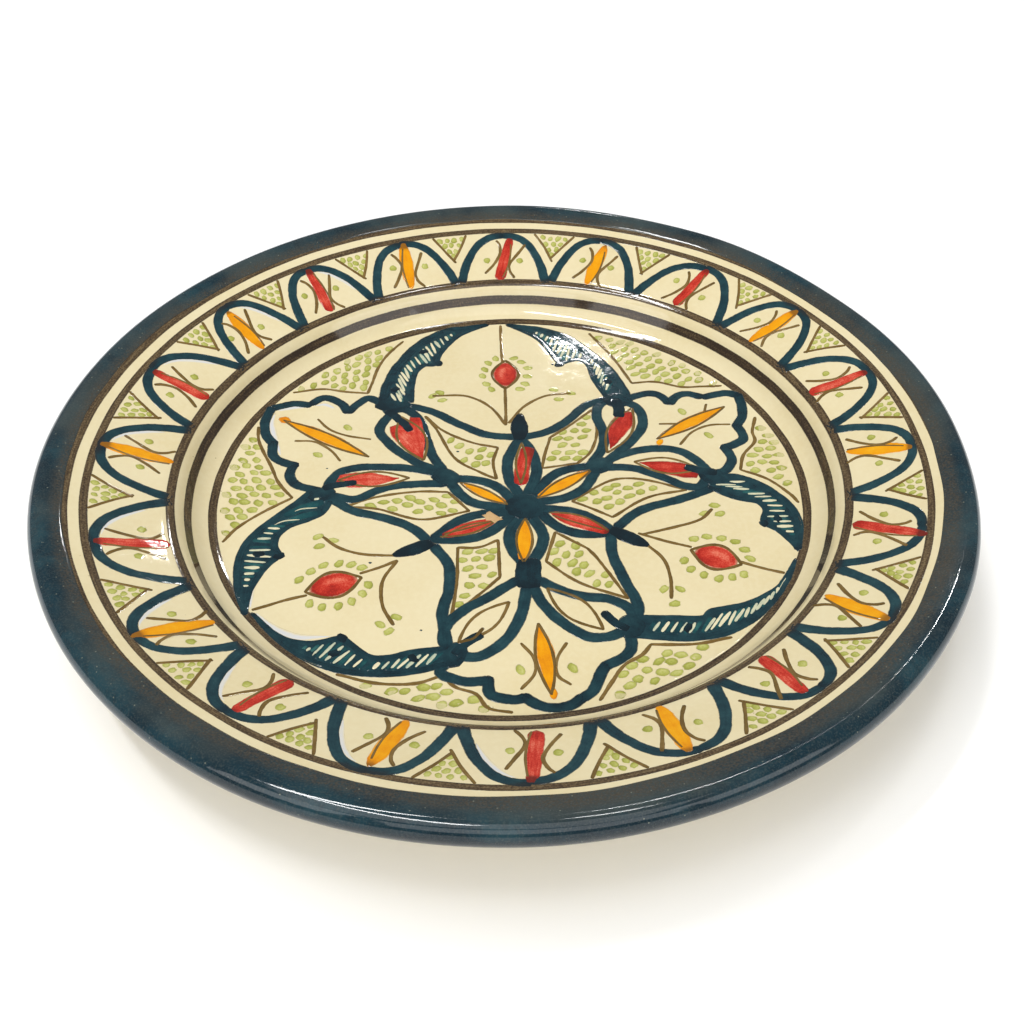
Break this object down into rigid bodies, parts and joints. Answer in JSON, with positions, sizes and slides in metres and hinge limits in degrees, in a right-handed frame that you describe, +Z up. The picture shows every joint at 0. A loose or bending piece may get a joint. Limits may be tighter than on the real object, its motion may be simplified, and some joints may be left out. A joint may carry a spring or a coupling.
{
  "type": "plate",
  "caption": "Round hand painted earthenware plate with a broad sloping rim, a flat well, a rolled blue lip and a turned foot ring.",
  "frame": {"origin": "centre of the foot ring's resting plane, on the plate's axis", "axes": "+Z up along the plate's axis, out of the well; +Y to the tip of the upright large leaf, the top of the painting; +X to the right of it"},
  "size_m": [0.27, 0.27, 0.034],
  "materials": {
    "bare_clay": "unglazed buff earthenware, turned smooth",
    "cream_glaze": "glossy cream glaze with fine pits",
    "blue_rim_glaze": "deep glossy blue-green glaze, thin and brighter on the edge",
    "brown_band": "mottled manganese brown under gloss",
    "blue_paint": "dark blue-green brush strokes under gloss",
    "red_paint": "raised glossy red enamel",
    "yellow_paint": "raised glossy orange-yellow enamel",
    "green_paint": "thin light green wash under gloss",
    "brown_pen": "thin brown line under gloss"
  },
  "bodies": {
    "root": {"clay_body": "bare_clay", "foot_ring": "bare_clay", "face_glaze": "cream_glaze", "back_glaze": "cream_glaze", "foot_well_glaze": "cream_glaze", "rim_glaze": "blue_rim_glaze", "lip_line": "brown_band", "marly_line": "brown_band", "ledge_line": "brown_band", "wall_line": "brown_band", "well_line": "brown_band", "scallop_arches": "blue_paint", "scallop_buds_red": "red_paint", "scallop_buds_yellow": "yellow_paint", "scallop_bud_lines": "brown_pen", "scallop_dots": "green_paint", "spandrel_frames": "brown_pen", "spandrel_dots": "green_paint", "star_petals": "blue_paint", "star_bulbs": "blue_paint", "star_buds_red": "red_paint", "star_buds_yellow": "yellow_paint", "star_bud_lines": "brown_pen", "heart_loops_left": "blue_paint", "heart_loops_right": "blue_paint", "heart_loops_bottom": "blue_paint", "heart_hooks": "blue_paint", "heart_buds_red": "red_paint", "heart_bud_lines": "brown_pen", "leaf_top": "blue_paint", "leaf_left": "blue_paint", "leaf_right": "blue_paint", "leaf_veins": "brown_pen", "leaf_berries": "red_paint", "berry_dots": "green_paint", "sprig_dots": "green_paint", "small_leaf_left": "blue_paint", "small_leaf_right": "blue_paint", "small_leaf_bottom": "blue_paint", "small_leaf_buds": "yellow_paint", "small_leaf_veins": "brown_pen", "outer_ground_frames": "brown_pen", "inner_ground_frames": "brown_pen", "outer_ground_dots": "green_paint", "inner_ground_dots": "green_paint"}
  },
  "joints": []
}
